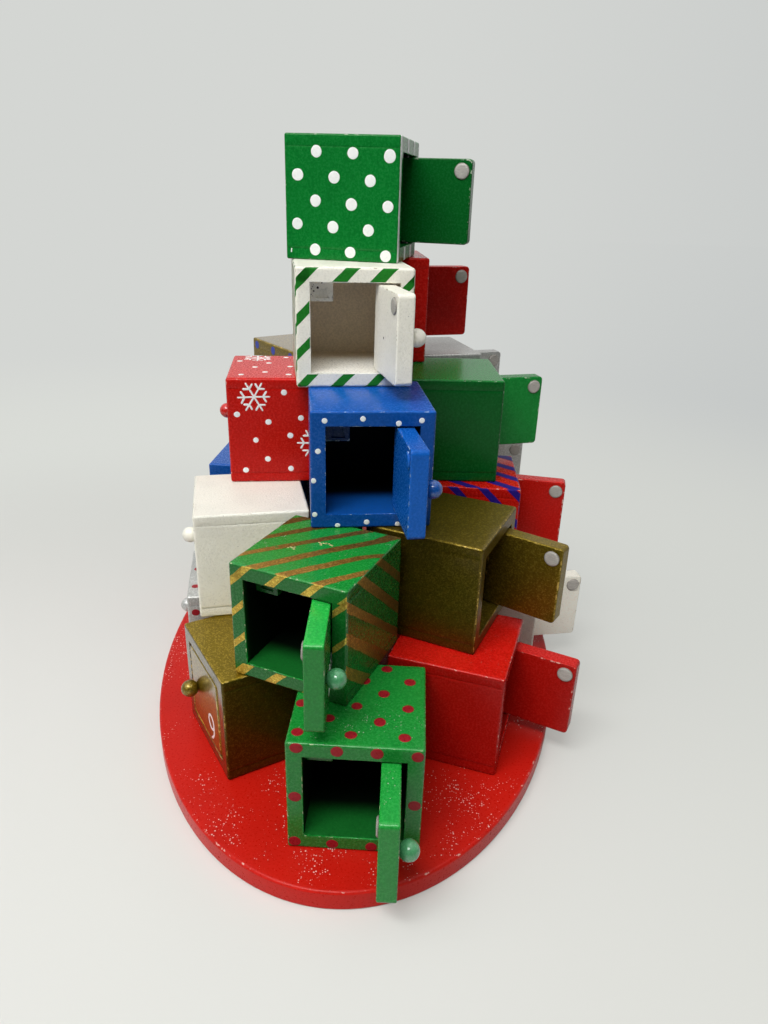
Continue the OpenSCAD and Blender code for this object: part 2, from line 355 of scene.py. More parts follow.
class Paint(Enum):
    """The paints of the boxes: the outside coat, and the record's slot that it fills."""

    # Leaf green, red and blue are drawn brighter on their upper faces by top: painted light
    GREEN = BrushedPaint("Deep green paint", (12, 118, 44), (190, 200, 180), 0.36), "green_paint"
    LEAF = BrushedPaint("Leaf green paint", (22, 122, 44), (206, 206, 170), 0.34, dust=0.9,
                        sheen=0.4, top=1.35), "green_paint"
    RED = BrushedPaint("Red paint", (192, 22, 14), (222, 190, 176), 0.34, dust=0.5, top=1.15), "red_paint"
    BLUE = BrushedPaint("Blue paint", (14, 80, 160), (176, 196, 212), 0.36, top=1.3), "blue_paint"
    GOLD = BrushedPaint("Old-gold paint", (126, 106, 24), (214, 184, 96), 0.55, rough=0.42, metal=0.8,
                        flake=0.45, coat=0.15, grain=1.3), "gold_paint"
    SILVER = BrushedPaint("Silver paint", (190, 191, 187), (214, 212, 205), 0.3, rough=0.36, metal=0.45,
                          flake=0.3), "silver_paint"
    WHITE = BrushedPaint("Off-white paint", (250, 247, 232), (176, 160, 132), 0.3, nicks=0.8, rough=0.36,
                         depth=12.0, grain=0.55, sheen=0.4), "white_paint"

    def __init__(self, coat: BrushedPaint, slot: str) -> None:
        """Takes the outside coat and its slot."""
        self.coat, self.slot = coat, slot

    def toned(self, part: str, side: float, top: float, glance: float = 0.0) -> BrushedPaint:
        """The outside coat with painted light and shade on one part.

        Args:
            part: words for the part.
            side: how much brighter its upright faces are drawn; painted light above 1 and painted shade
                below.
            top: how much brighter its upper faces are drawn; painted light above 1 and painted shade below.
            glance: how much it shines where the view only glances off it.

        Returns:
            The finish.
        """
        coat = self.coat
        if side == top == 1.0 and not glance:
            return coat
        return replace(coat, name=f"{coat.name} {part}", side=coat.side * side, top=coat.top * top,
                       glance=glance)

    def knob(self) -> BrushedPaint:
        """The thicker, glossier coat of a knob.

        Returns:
            The finish.
        """
        return replace(self.coat, name=self.coat.name.replace("paint", "knob coat"),
                       colour=BEAD_GREEN if self is Paint.LEAF else self.coat.colour,
                       coat=0.6, sheen=0.5, wear=0.1, dust=0.0, grain=self.coat.grain * 0.5)

    def inside(self) -> BrushedPaint:
        """The duller, darker coat of a box's cavity, which turns to painted shade deep inside.

        Returns:
            The finish.
        """
        coat, blue = self.coat, self is Paint.BLUE
        # Deep inside, the coloured boxes turn near black, a painted shade that begins further in on the
        # floor, behind a painted shadow line; the white box turns warmer and a little darker
        if self is Paint.WHITE:
            return BrushedPaint("White inside coat", (250, 247, 236), coat.worn, 0.3, rough=0.5, depth=3.0,
                                sheen=0.1, grain=2.0, bare=(238, 224, 200), reach=3.0)
        return BrushedPaint(coat.name.replace("paint", "inside coat"),
                            tuple(round(c * (0.95 if blue else 0.8)) for c in coat.colour), coat.worn, 0.3,
                            rough=0.5, metal=coat.metal * 0.6, flake=coat.flake, depth=1.6, sheen=0.1,
                            grain=coat.grain, bare=tuple(round(c * 0.1) for c in coat.colour),
                            reach=-14.0 if blue else -24.0)


# Mesh drafting


def eased(depth: float, radius: float) -> float:
    """How far an edge rounded to a radius lies back at a depth below the face."""
    return radius - math.sqrt(radius ** 2 - (radius - min(depth, radius)) ** 2)


def oblong(left: float, right: float, low: float, high: float, corner: float) -> list[Pair]:
    """The outline of a rectangle with rounded corners.

    Args:
        left: smallest across.
        right: largest across.
        low: smallest up.
        high: largest up.
        corner: corner radius.

    Returns:
        Pairs of across and up.
    """
    parts = 5
    centres = ((right - corner, high - corner), (left + corner, high - corner),
               (left + corner, low + corner), (right - corner, low + corner))
    return [around(centre, corner, math.radians(90 * quarter + 90 * i / parts))
            for quarter, centre in enumerate(centres) for i in range(parts + 1)]


class Draft:
    """Collects points and faces in millimetres, and turns them into one object.

    EASE_PARTS and HINGE_PARTS are the depths of a slab's rings, as shares of its edges' radii, and
    WORN_PART is the depth down to which its edges wear. SOCKET_RIM is the worn rim of its socket: how
    much wider, how deep and how near to an edge. SPREAD has a step and a span for each axis, which
    scatter the grain.
    """

    EASE_PARTS = (0.13, 0.4, 1.0)
    HINGE_PARTS = (0.4, 0.7, 1.0)
    WORN_PART = 2.4
    SOCKET_RIM = ((0.35, 0.0, 0.3), (0.08, 0.1, 1.0), (0.0, 0.4, 0.2))
    SPREAD = ((37.7, 211), (91.3, 173), (53.9, 197))

    def __init__(self) -> None:
        """Starts empty."""
        self.points: list[tuple[Vector, float]] = []
        self.faces: list[tuple[tuple[int, ...], int, bool]] = []

    def ring(self, points: Iterable[Sequence[float]], edge: float = 0.0) -> list[int]:
        """Adds points.

        Args:
            points: the places.
            edge: how near they are to a worn edge, from 0 to 1.

        Returns:
            Their numbers.
        """
        start = len(self.points)
        self.points += [(Vector(point), edge) for point in points]
        return list(range(start, len(self.points)))

    def face(self, numbers: Iterable[int], finish: int = 0, smooth: bool = True) -> None:
        """Adds a face over these points, with its finish and whether it shades smoothly."""
        self.faces.append((tuple(numbers), finish, smooth))

    def bridge(self, first: Sequence[int], second: Sequence[int], finish: int = 0,
               smooth: bool = True) -> None:
        """Joins two rings of as many points by a band of faces."""
        for i, j in zip(range(len(first)), [*range(1, len(first)), 0]):
            self.face((first[i], first[j], second[j], second[i]), finish, smooth)

    def tube(self, rings: Sequence[Sequence[int]]) -> None:
        """Joins each ring to the next."""
        for first, second in zip(rings, rings[1:]):
            self.bridge(first, second)

    def slab(self, span: Four, near: float, far: float, corner: float, ease: float,
             hinge: float = 0.0, hole: Four | None = None) -> "Draft":
        """Adds a board that stands in the plane of a box's front.

        Args:
            span: left, right, low and high.
            near: y of the outer face.
            far: y of the inner face.
            corner: radius of the outline's corners.
            ease: radius of the eased edges.
            hinge: radius of the two long edges on the right.
            hole: x, z, radius and depth of a round socket in the outer face.

        Returns:
            The draft.
        """
        thick, big = far - near, max(ease, hinge)
        left, right, low, high = span
        strip = ease * self.WORN_PART
        depths = sorted({0.0, strip, *(ease * part for part in self.EASE_PARTS),
                         *(big * part for part in self.HINGE_PARTS)})
        depths = [d for d in depths if d < thick / 2]
        rings = []
        for depth in depths + [thick - d for d in reversed(depths)]:
            away = min(depth, thick - depth)
            back, turned = eased(away, ease), max(eased(away, ease), eased(away, hinge))
            outline = oblong(left + back, right - turned, low + back, high - back,
                             max(SMALLEST, corner - back))
            rings.append(self.ring([(x, near + depth, z) for x, z in outline],
                                   max(0.0, 1.0 - away / strip)))
        self.tube(rings)
        inner = []
        rim = ease + MARGIN
        within = oblong(left + rim, right - big - MARGIN, low + rim, high - rim,
                        max(SMALLEST, corner - ease))
        for ring, y in ((rings[0], near), (rings[-1], far)):
            inner.append(self.ring([(x, y, z) for x, z in within]))
            self.bridge(ring, inner[-1])
        self.face(inner[1])
        rims = [inner[0]]
        if hole:
            x, z, radius, deep = hole
            angles = [math.atan2(self.points[i][0].z - z, self.points[i][0].x - x) for i in inner[0]]
            for wider, depth, edge in (*self.SOCKET_RIM, (0.0, deep, 0.0)):
                circle = [around((x, z), radius + wider, angle) for angle in angles]
                rims.append(self.ring([(a, near + depth, b) for a, b in circle], edge))
            self.tube(rims)
        self.face(rims[-1])
        return self

    def lathe(self, centre: Sequence[float], sign: int, profile: Sequence[Triple],
              turns: int = 32, dent: Callable[[float, float], float] | None = None) -> "Draft":
        """Adds a turned form on an axis along y.

        Args:
            centre: foot of its axis.
            sign: 1 if it rises along y and -1 if against it.
            profile: radius, height and nearness to an edge, from one pole to the other.
            turns: points on each ring.
            dent: unevenness of the height at an angle and radius.

        Returns:
            The draft.
        """
        side, out = Vector((1, 0, 0)), Vector((0, sign, 0))
        up = out.cross(side)
        rings = []
        for radius, height, nearness in profile:
            points = []
            for i in range(turns if radius else 1):
                angle = math.tau * i / turns
                extra = dent(angle, radius) if dent else 0.0
                points.append(Vector(centre) + side * radius * math.cos(angle)
                              + up * radius * math.sin(angle) + out * (height + extra))
            rings.append(self.ring(points, nearness))
        for first, second in zip(rings, rings[1:]):
            pole, ring = sorted((first, second), key=len)
            if len(pole) > 1:
                self.bridge(first, second)
                continue
            for i, number in enumerate(ring):
                self.face((pole[0], number, ring[(i + 1) % len(ring)]))
        return self

    def build(self, name: str, finishes: Sequence[Finish], place: Matrix, body: str,
              slot: str, solid: bool = True, number: int = 0) -> bpy.types.Object:
        """Makes the object and lets it ride on a body.

        Args:
            name: the piece's name.
            finishes: its finishes.
            place: place of the piece in the row frame.
            body: the body that carries it.
            slot: the record's slot of its finish; not used.
            solid: the mesh is closed, so its outside can be found.
            number: moves the grain of the finish, so that no two pieces look alike.

        Returns:
            The object.
        """
        form = bmesh.new()
        edge = form.verts.layers.float.new("edge")
        shift = form.verts.layers.float_vector.new("shift")
        offset = Vector([number * step % span for step, span in self.SPREAD])
        made = []
        for point, nearness in self.points:
            vertex = form.verts.new(point * MM)
            vertex[edge], vertex[shift] = nearness, offset
            made.append(vertex)
        for numbers, finish, smooth in self.faces:
            if len(set(numbers)) < 3:
                continue
            try:
                face = form.faces.new([made[i] for i in dict.fromkeys(numbers)])
            except ValueError:
                continue
            face.material_index, face.smooth = finish, smooth
        bmesh.ops.remove_doubles(form, verts=form.verts, dist=WELD * MM)
        bmesh.ops.delete(form, geom=[v for v in form.verts if not v.link_faces], context="VERTS")
        if solid:
            bmesh.ops.recalc_face_normals(form, faces=form.faces)
        mesh = bpy.data.meshes.new(name)
        form.to_mesh(mesh)
        form.free()
        for finish in finishes:
            mesh.materials.append(material(finish))
        obj = linked(name, mesh)
        obj.matrix_world = place
        obj.modifiers.new("Even shading", "WEIGHTED_NORMAL").keep_sharp = True
        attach(obj, body)
        log.info("%s in %s", name, finishes[0].name)
        return obj


def linked(name: str, data: bpy.types.ID) -> bpy.types.Object:
    """Makes an object of that data and puts it in the scene.

    Args:
        name: the object's name.
        data: its mesh, lamp or camera.

    Returns:
        The object.
    """
    obj = bpy.data.objects.new(name, data)
    bpy.context.scene.collection.objects.link(obj)
    return obj


# Boxes


@dataclass(frozen=True)
class Wrap:
    """The outer skin of a box: a cube with eased edges."""

    easing: float = 1.5

    def ticks(self, *extra: float) -> list[float]:
        """Places of the grid lines across a face, with further ones on both sides.

        Args:
            extra: the further places.

        Returns:
            The places in order.
        """
        flat = HALF - self.easing
        steps = [flat + self.easing * math.tan(math.radians(a)) for a in (0, 15, 30, 45)]
        return sorted({round(sign * s, 4) for s in (*steps, flat - STRIP, *extra) for sign in (-1, 1)})

    def place(self, face: Face, u: float, v: float, lift: float = 0.0) -> Vector:
        """The point of the skin at a face's u and v, lifted off it.

        Args:
            face: the face.
            u: across the face from its centre.
            v: up the face from its centre.
            lift: height above the skin.

        Returns:
            The point, from the box's centre.
        """
        normal, along, up = (Vector(way) for way in face.value)
        over = HALF - max(0.0, abs(u) - HALF) - max(0.0, abs(v) - HALF)
        point = normal * over + along * max(-HALF, min(HALF, u)) + up * max(-HALF, min(HALF, v))
        inner = HALF - self.easing
        core = Vector([max(-inner, min(inner, c)) for c in point])
        return core + (point - core).normalized() * (self.easing + lift)

    def nearness(self, u: float, v: float) -> float:
        """How near a face's u and v are to the box's edges, from 0 to 1."""
        reach = HALF - self.easing - STRIP
        return max(0.0, min(1.0, (max(abs(u), abs(v)) - reach) / (HALF - reach)))


@dataclass
class Carcass:
    """The glued box of one day, with its opening, cavity and lapped boards."""

    wrap: Wrap
    back: float = 30.0
    lap: float = 6.6
    seam: float = 0.4
    line: float = 0.3
    seam_wear: float = 0.5
    lip_depth: float = 0.9
    worn: float = 1.6

    def draft(self) -> Draft:
        """Draws the box round its own centre.

        Returns:
            The draft: finish 0 outside and 1 inside.
        """
        draft = Draft()
        joint = HALF - self.lap
        across = self.wrap.ticks(FRAME, FRAME + STRIP)
        upward = self.wrap.ticks(FRAME, joint - self.line, joint, joint + self.line)
        for face in Face:
            us = self.wrap.ticks() if face in (LEFT, RIGHT) else across
            vs = self.wrap.ticks() if face in (TOP, UNDER) else upward
            rows = [[self._point(draft, face, u, v, joint) for u in us] for v in vs]
            for j in range(len(vs) - 1):
                for i in range(len(us) - 1):
                    middle = max(abs(us[i] + us[i + 1]), abs(vs[j] + vs[j + 1])) / 2
                    if face is not FRONT or middle >= FRAME:
                        draft.face((rows[j][i], rows[j][i + 1], rows[j + 1][i + 1], rows[j + 1][i]))
        rings = []
        for turn, nearness in ((0, 0.6), (30, 1.0), (60, 1.0), (90, 0.6)):
            angle = math.radians(turn)
            rings.append(self._square(draft, FRAME - LIP * math.sin(angle),
                                      LIP * (1 - math.cos(angle)) - HALF, nearness))
        rings.append(self._square(draft, OPENING, self.lip_depth - HALF, 0.0))
        draft.tube(rings)
        last = self._square(draft, OPENING, self.back, 0.0)
        draft.bridge(rings[-1], last, 1, False)
        draft.face(last, 1, False)
        return draft

    def _point(self, draft: Draft, face: Face, u: float, v: float, joint: float) -> int:
        """Adds a point of the skin, sunk where two boards meet.

        Args:
            draft: where it goes.
            face: the face.
            u: across the face.
            v: up the face.
            joint: height of the joint between two boards.

        Returns:
            Its number.
        """
        sunk = (face in (LEFT, RIGHT, BACK) and math.isclose(abs(v), joint, abs_tol=WELD)
                and abs(u) <= HALF - self.wrap.easing)
        near = max(self.wrap.nearness(u, v), self.seam_wear if sunk else 0.0)
        if face is FRONT:
            near = max(near, 1 - (max(abs(u), abs(v)) - OPENING) / self.worn)
        return draft.ring([self.wrap.place(face, u, v, -self.seam if sunk else 0.0)], near)[0]

    @staticmethod
    def _square(draft: Draft, reach: float, y: float, nearness: float) -> list[int]:
        """Adds a square ring of that reach at a depth."""
        return draft.ring([(x * reach, y, z * reach) for x, z in SQUARE], nearness)


@dataclass
class DoorLeaf:
    """A door slab with a rounded hinge edge."""

    span: float = 25.3
    thick: float = 10.0
    corner: float = 2.6
    ease: float = 0.8
    hinge: float = 3.2

    def draft(self) -> Draft:
        """Draws the shut door in its box."""
        return Draft().slab((-self.span, self.span, -self.span, self.span), -HALF, self.thick - HALF,
                            self.corner, self.ease, self.hinge)


@dataclass
class BallKnob:
    """A small turned ball with a flat seat on the door."""

    radius: float = 5.3
    proud: float = 4.8
    across: float = -15.3
    parts: int = 17

    def draft(self) -> Draft:
        """Draws the knob on the shut door.

        Returns:
            The draft.
        """
        start = math.degrees(math.acos(-self.proud / self.radius))
        angles = [math.radians(start * i / self.parts) for i in range(self.parts, 0, -1)]
        ball = [(*around((self.proud, 0.0), self.radius, a)[::-1], 0.0) for a in angles]
        return Draft().lathe((self.across, -HALF, 0.0), -1,
                             [(0.0, 0.0, 0.0), *ball, (0.0, self.proud + self.radius, 0.0)])


@dataclass
class CatchDisc:
    """The low-domed steel disc on a door's inner face, which the magnet holds."""

    at: Pair
    rim: float = 4.85
    height: float = 1.2
    face: float = -24.98

    def draft(self, number: int) -> Draft:
        """Draws the disc on the shut door.

        Args:
            number: picks its dents.

        Returns:
            The draft.
        """
        rim, top = self.rim, self.height
        profile = [(0, 0, 0), (rim * 0.97, 0, 0), (rim, 0.12, 0.6), (rim, 0.3, 1.0),
                   (rim * 0.96, 0.55, 1.0), (rim * 0.9, 0.85, 0.4), (rim * 0.8, top - 0.1, 0.2),
                   (rim * 0.6, top - 0.06, 0), (rim * 0.3, top - 0.07, 0), (0, top - 0.08, 0)]

        def dent(angle: float, radius: float) -> float:
            """How much lower the dome is there."""
            dome = 0.1 <= radius <= rim * 0.85
            return -abs(wobble(number, angle * 0.6 + radius * 0.5, 0.05)) if dome else 0.0

        return Draft().lathe((self.at[0], self.face, self.at[1]), 1, profile, 36, dent)


@dataclass
class MagnetHolder:
    """The small wooden block in a box's corner, with a round socket, and the magnet in it."""

    at: Pair
    span: Four = (-26.2, -12.2, 14.2, 26.2)
    near: float = -23.5
    far: float = -15.5
    corner: float = 0.7
    ease: float = 0.5
    socket: float = 4.05
    deep: float = 6.0
    clearance: float = 0.1
    sunk: float = 1.0
    thick: float = 4.9

    def block(self) -> Draft:
        """Draws the block in its box."""
        return Draft().slab(self.span, self.near, self.far, self.corner, self.ease,
                            hole=(*self.at, self.socket, self.deep))

    def magnet(self) -> Draft:
        """Draws the magnet, which is painted over with the box.

        Returns:
            The draft.
        """
        rim = self.socket - self.clearance
        profile = [(0, 0, 0), (rim * 0.7, -0.03, 0), (rim - 0.3, -0.02, 0), (rim, -0.35, 0.6),
                   (rim, -self.thick, 0), (0, -self.thick, 0)]
        return Draft().lathe((self.at[0], self.near + self.sunk, self.at[1]), -1, profile, 28)


# Painted trim


class Brush:
    """Lays a fine film of paint on a skin: dots, bands and strokes.

    DAB and RIDGE are the profiles of a dot and a stroke: share of the half width, and lift.
    DOT_SIDES, STROKE_PART and BAND_PART set how fine they are, STROKE_END how blunt a stroke ends, and
    the WAVER values how uneven they are. TINY is an area too small to see.
    """

    DAB = ((0.5, 1.0), (0.8, 0.9), (0.94, 0.5), (1.0, -0.2), (0.9, -1.0))
    RIDGE = ((-0.9, -1.0), (-1, 0.0), (-0.75, 0.9), (0, 1.1), (0.75, 0.9), (1, 0.0), (0.9, -1.0))
    DOT_SIDES = 20
    STROKE_PART = 0.7
    STROKE_END = 0.16
    BAND_PART = 4.0
    DOT_WAVER = 0.1
    STROKE_WAVER = 0.2
    BAND_WAVER = 0.55
    TINY = 1e-4

    def __init__(self, place: Callable[..., Vector], ticks: Sequence[float] = (),
                 thick: float = 0.13) -> None:
        """Starts with no paint.

        Args:
            place: gives the skin's point for a face, u, v and lift.
            ticks: the skin's grid lines.
            thick: thickness of the paint.
        """
        self.place, self.ticks, self.thick = place, ticks, thick
        self.draft = Draft()
        self.count = 0

    def dot(self, face: Face, u: float, v: float, size: float) -> None:
        """Adds one dabbed dot.

        Args:
            face: the face.
            u: across.
            v: up.
            size: diameter.
        """
        self.count += 1
        rings = []
        for share, lift in self.DAB:
            points = []
            for i in range(self.DOT_SIDES):
                angle = math.tau * i / self.DOT_SIDES
                x, y = around((0.0, 0.0), 0.6, angle)
                reach = size / 2 * share * (1 + wobble(self.count + u, x, self.DOT_WAVER)
                                            + wobble(v + 3.3, y, self.DOT_WAVER))
                points.append(self.place(face, *around((u, v), reach, angle), lift * self.thick))
            rings.append(self.draft.ring(points))
        self._close(rings)

    def stroke(self, face: Face, path: Sequence[Pair], width: float) -> None:
        """Adds one brush stroke with round ends.

        Args:
            face: the face.
            path: places across and up.
            width: width of the stroke.
        """
        self.count += 1
        places = [Vector(p) for p in path]
        steps = []
        for first, second in zip(places, places[1:]):
            parts = max(1, round((second - first).length / self.STROKE_PART))
            steps += [first.lerp(second, i / parts) for i in range(parts)]
        steps.append(places[-1])
        total = len(steps) - 1
        rings = []
        for i, step in enumerate(steps):
            ahead = steps[min(total, i + 1)] - steps[max(0, i - 1)]
            side = Vector((-ahead.y, ahead.x)).normalized()
            run = min((step - steps[0]).length, (steps[-1] - step).length)
            half = width / 2
            if min(i, total - i) * self.STROKE_PART < half:
                taper = math.sqrt(max(0.0, half ** 2 - (half - min(run, half)) ** 2))
                half = max(width * self.STROKE_END, taper)
            half *= 1 + wobble(self.count, i * 0.3, self.STROKE_WAVER)
            points = []
            for share, lift in self.RIDGE:
                at = step + side * half * share
                points.append(self.place(face, at.x, at.y, lift * self.thick))
            rings.append(self.draft.ring(points))
        self._close(rings)

    def band(self, face: Face, first: Sequence[Pair], second: Sequence[Pair],
             window: float = 0.0) -> None:
        """Adds a band between two lines, cut to the face's grid so that it bends with the skin.

        Args:
            face: the face.
            first: start and end of one side of the band.
            second: start and end of the other side.
            window: half size of a square opening that stays free.
        """
        self.count += 1
        sides = [[Vector(end) for end in line] for line in (first, second)]
        parts = max(2, round((sides[0][1] - sides[0][0]).length / self.BAND_PART))
        across = (sides[1][0] - sides[0][0]).normalized()
        lines = []
        for k, (start, end) in enumerate(sides):
            drift = [wobble(self.count * 2.7 + k, i * 0.55, self.BAND_WAVER) for i in range(parts + 1)]
            lines.append([start.lerp(end, i / parts) + across * step for i, step in enumerate(drift)])
        spans = list(zip(self.ticks, self.ticks[1:]))
        for i in range(parts):
            quad = [lines[0][i], lines[0][i + 1], lines[1][i + 1], lines[1][i]]
            for a, b in spans:
                if max(p.x for p in quad) <= a or min(p.x for p in quad) >= b:
                    continue
                column = self._cut(self._cut(quad, 0, a, 1), 0, b, -1)
                for c, d in spans:
                    if not window or max(abs(a + b), abs(c + d)) / 2 >= window:
                        self._tile(face, self._cut(self._cut(column, 1, c, 1), 1, d, -1))

    def _close(self, rings: Sequence[list[int]]) -> None:
        """Joins rings of points into one closed pad, facing outwards.

        Args:
            rings: the rings, from one end of the pad to the other.
        """
        for first, second in zip(rings, rings[1:]):
            self.draft.bridge(second, first)
        self.draft.face(rings[0])
        self.draft.face(reversed(rings[-1]))

    def _tile(self, face: Face, cell: list[Vector]) -> None:
        """Adds one piece of a band, facing outwards, unless it is too slim to see.

        Args:
            face: the face.
            cell: its corners across and up.
        """
        turn = sum(p.x * q.y - q.x * p.y for p, q in zip(cell, cell[1:] + cell[:1]))
        if abs(turn) < self.TINY:
            return
        cell = cell if turn > 0 else cell[::-1]
        self.draft.face(self.draft.ring([self.place(face, p.x, p.y, self.thick * 0.5) for p in cell]))

    @staticmethod
    def _cut(polygon: Sequence[Vector], axis: int, limit: float, sign: int) -> list[Vector]:
        """Keeps the part of a polygon on one side of a grid line.

        Args:
            polygon: its corners.
            axis: 0 across or 1 up.
            limit: place of the grid line.
            sign: 1 keeps what is above it and -1 what is below.

        Returns:
            The corners that stay.
        """
        out = []
        for p, q in zip(polygon, [*polygon[1:], *polygon[:1]]):
            here, there = sign * (p[axis] - limit), sign * (q[axis] - limit)
            if here >= 0:
                out.append(p)
            if here * there < 0:
                out.append(p.lerp(q, here / (here - there)))
        return out


@dataclass(frozen=True)
class Pattern:
    """Painted trim on one face of a box."""

    face: Face

    def lay(self, brush: Brush) -> None:
        """Paints the pattern on the box's skin; each kind has its own way."""
        raise NotImplementedError


@dataclass(frozen=True)
class Dots(Pattern):
    """Dabbed dots of one size."""

    size: float
    at: tuple[Pair, ...]

    def lay(self, brush: Brush) -> None:
        """Paints the dots."""
        for u, v in self.at:
            brush.dot(self.face, u, v, self.size)


@dataclass(frozen=True)
class DotRows(Pattern):
    """Rows of dots in a staggered repeat, round a window that stays free.

    ROWS and PLACES number the repeat's rows and the dots in each, and WAVER is how far a dot strays.
    OFF_EDGE and OFF_WINDOW are how far a dot's middle keeps from the face's edge and from the window, as
    shares of its size.
    """

    ROWS = range(-8, 9)
    PLACES = range(-5, 6)
    WAVER = 1.1
    OFF_EDGE = 0.3
    OFF_WINDOW = 0.55

    size: float
    step: float
    rise: float
    start: Pair = (0.0, 0.0)
    window: float = 0.0

    def lay(self, brush: Brush) -> None:
        """Paints the dots that lie on the face.

        Args:
            brush: the brush.
        """
        for row in self.ROWS:
            v = self.start[1] + row * self.rise
            for place in self.PLACES:
                u = self.start[0] + (place + 0.5 * (row % 2)) * self.step
                u += wobble(row + 0.4, place * 1.7, self.WAVER)
                reach = max(abs(u), abs(v))
                free = self.window + self.size * self.OFF_WINDOW if self.window else 0.0
                if free <= reach <= HALF - self.size * self.OFF_EDGE:
                    brush.dot(self.face, u, v, self.size)


@dataclass(frozen=True)
class Stripes(Pattern):
    """Stripes between places on a scale; lean 1 rises to the right, -1 falls and 0 is upright."""

    lean: int
    bands: tuple[Pair, ...]
    window: float = 0.0

    def lay(self, brush: Brush) -> None:
        """Paints the stripes.

        Args:
            brush: the brush.
        """
        for band in self.bands:
            sides = [((s - self.lean * HALF, -HALF), (s + self.lean * HALF, HALF)) for s in band]
            brush.band(self.face, *sides, self.window)


@dataclass(frozen=True)
class FreeBands(Pattern):
    """Bands that each lie between two lines."""

    bands: tuple[tuple[float, ...], ...]

    def lay(self, brush: Brush) -> None:
        """Paints the bands, given as u and v of one line's ends and then of the other's."""
        for a, b, c, d, e, f, g, h in self.bands:
            brush.band(self.face, ((a, b), (c, d)), ((e, f), (g, h)))


@dataclass(frozen=True)
class FrameStripes(Pattern):
    """Stripes that rise to the right on the bars round an opening, each bar with its own places."""

    top: tuple[Pair, ...]
    left: tuple[Pair, ...]
    bottom: tuple[Pair, ...]
    right: tuple[Pair, ...]

    def lay(self, brush: Brush) -> None:
        """Paints the stripes.

        Args:
            brush: the brush.
        """
        outer, inner = (-HALF, -FRAME), (FRAME, HALF)
        for bands, ends in ((self.top, inner), (self.bottom, outer)):
            for band in bands:
                brush.band(self.face, *(tuple((s + end, end) for end in ends) for s in band))
        for bands, ends in ((self.left, outer), (self.right, inner)):
            for band in bands:
                brush.band(self.face, *(tuple((end, end - s) for end in ends) for s in band))


@dataclass(frozen=True)
class Snowflakes(Pattern):
    """Six-armed snowflakes."""

    at: tuple[Pair, ...]
    arm: float = 10.8
    width: float = 1.15
    fork: float = 0.56
    twig: float = 0.4
    spread: float = 60.0
    stray: float = 5.0
    arm_waver: float = 0.12
    twig_waver: float = 0.2
    twig_width: float = 1.15

    def lay(self, brush: Brush) -> None:
        """Paints the snowflakes.

        Args:
            brush: the brush.
        """
        for number, centre in enumerate(self.at):
            for side in range(6):
                angle = math.radians(60 * side + wobble(number + 1, side, self.stray))
                reach = self.arm * (1 + wobble(number + 5, side * 1.3, self.arm_waver))
                brush.stroke(self.face, (centre, around(centre, reach, angle)), self.width)
                root = around(centre, reach * self.fork, angle)
                for turn in (-self.spread, self.spread):
                    twig = reach * self.twig * (1 + wobble(number + 9, side + turn, self.twig_waver))
                    tip = around(root, twig, angle + math.radians(turn))
                    brush.stroke(self.face, (root, tip), self.width * self.twig_width)


@dataclass(frozen=True)
class Pits:
    """Small dark pits, with x, z and size, on an upright face of a door or block."""

    plane: float
    outward: int
    at: tuple[Triple, ...]

    def draft(self) -> Draft:
        """Drafts the pits.

        Returns:
            The draft.
        """
        sign = self.outward
        brush = Brush(lambda face, u, v, lift: Vector((-sign * u, self.plane + sign * lift, v)), thick=0.06)
        for x, z, size in self.at:
            brush.dot(FRONT, -sign * x, z, size)
        return brush.draft


def arc(cx: float, cy: float, rx: float, ry: float, start: float, end: float,
        steps: int = 14) -> list[Pair]:
    """Places on an oval round cx and cy with half sizes rx and ry, from one angle to another."""
    angles = [math.radians(start + (end - start) * i / steps) for i in range(steps + 1)]
    return [(cx + rx * math.cos(a), cy + ry * math.sin(a)) for a in angles]


